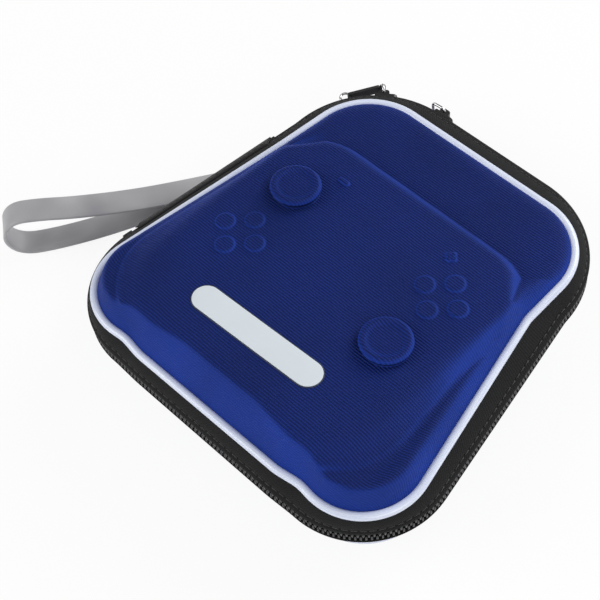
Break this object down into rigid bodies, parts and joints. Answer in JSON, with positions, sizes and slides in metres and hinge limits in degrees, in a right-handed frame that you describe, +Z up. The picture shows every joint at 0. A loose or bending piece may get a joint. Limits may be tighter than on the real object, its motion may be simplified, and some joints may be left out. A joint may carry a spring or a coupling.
{
  "type": "controller carrying case",
  "caption": "Zipped clamshell carrying case with a moulded gamepad outline on the lid, white piping and a hand strap.",
  "frame": {"origin": "middle of the flat underside of the base", "axes": "+Z up out of the lid, +Y from the handle end to the straight far edge, hinge and strap on -X"},
  "size_m": [0.2108, 0.1638, 0.0511],
  "materials": {
    "blue_fabric": "ribbed moulded polyester, slight sheen",
    "white_piping": "glossy",
    "black_fabric": "plain weave",
    "black_tape": "woven tape",
    "black_coil": "satin nylon",
    "black_enamel": "satin enamel",
    "white_label": "satin",
    "net": "open net",
    "elastic": "ribbed elastic",
    "grey_ribbon": "satin ribbon",
    "nickel": "polished",
    "black_rubber": "matte"
  },
  "bodies": {
    "base": {"base_shell": "blue_fabric", "base_piping": "white_piping", "base_side_band": "black_fabric", "base_seam_binding": "black_tape", "base_zip_tape": "black_tape", "base_zip_coil": "black_coil", "base_zip_stops": "black_enamel", "hinge_spine": "black_fabric", "retaining_strap": "elastic", "strap_anchor_tab": "black_tape", "hand_strap": "grey_ribbon"},
    "lid": {"lid_shell": "blue_fabric", "lid_piping": "white_piping", "lid_side_band": "black_fabric", "lid_seam_binding": "black_tape", "lid_zip_tape": "black_tape", "lid_zip_coil": "black_coil", "lid_zip_stops": "black_enamel", "label_patch": "white_label", "mesh_pocket": "net", "pocket_elastic": "elastic"},
    "right_slider": {"right_slider": "black_enamel"},
    "right_bail": {"right_bail": "nickel"},
    "right_pull": {"right_pull_tab": "black_rubber", "right_pull_ring": "nickel"},
    "left_slider": {"left_slider": "black_enamel"},
    "left_bail": {"left_bail": "nickel"},
    "left_pull": {"left_pull_tab": "black_rubber", "left_pull_ring": "nickel"}
  },
  "joints": [
    {"name": "lid_hinge", "type": "hinge", "parent": "base", "child": "lid", "pos_m": [-0.0756, -0.00767, 0.024], "axis": [-0.151, -0.9885, 0], "range_deg": [0, 130], "deforming": ["hinge_spine"]},
    {"name": "right_slider_slide", "type": "slide", "parent": "base", "child": "right_slider", "axis": [1, 0, 0], "range_m": [0, 0.046]},
    {"name": "left_slider_turn", "type": "hinge", "parent": "base", "child": "left_slider", "pos_m": [-0.0264, 0.0374, 0.024], "axis": [0, 0, 1], "range_deg": [-18, 14]},
    {"name": "right_bail_turn", "type": "hinge", "parent": "right_slider", "child": "right_bail", "pos_m": [-0.0265, 0.0805, 0.024], "axis": [0, 0, 1], "range_deg": [-100, 3]},
    {"name": "left_bail_turn", "type": "hinge", "parent": "left_slider", "child": "left_bail", "pos_m": [-0.05133, 0.07257, 0.024], "axis": [0, 0, 1], "range_deg": [-80, 1]},
    {"name": "right_pull_swing", "type": "hinge", "parent": "right_bail", "child": "right_pull", "pos_m": [-0.02929, 0.0803, 0.0212], "axis": [-0.9976, -0.0698, 0], "range_deg": [-75, 8]},
    {"name": "left_pull_turn", "type": "hinge", "parent": "left_bail", "child": "left_pull", "pos_m": [-0.05397, 0.07471, 0.024], "axis": [0, 0, 1], "range_deg": [-95, 1]}
  ]
}
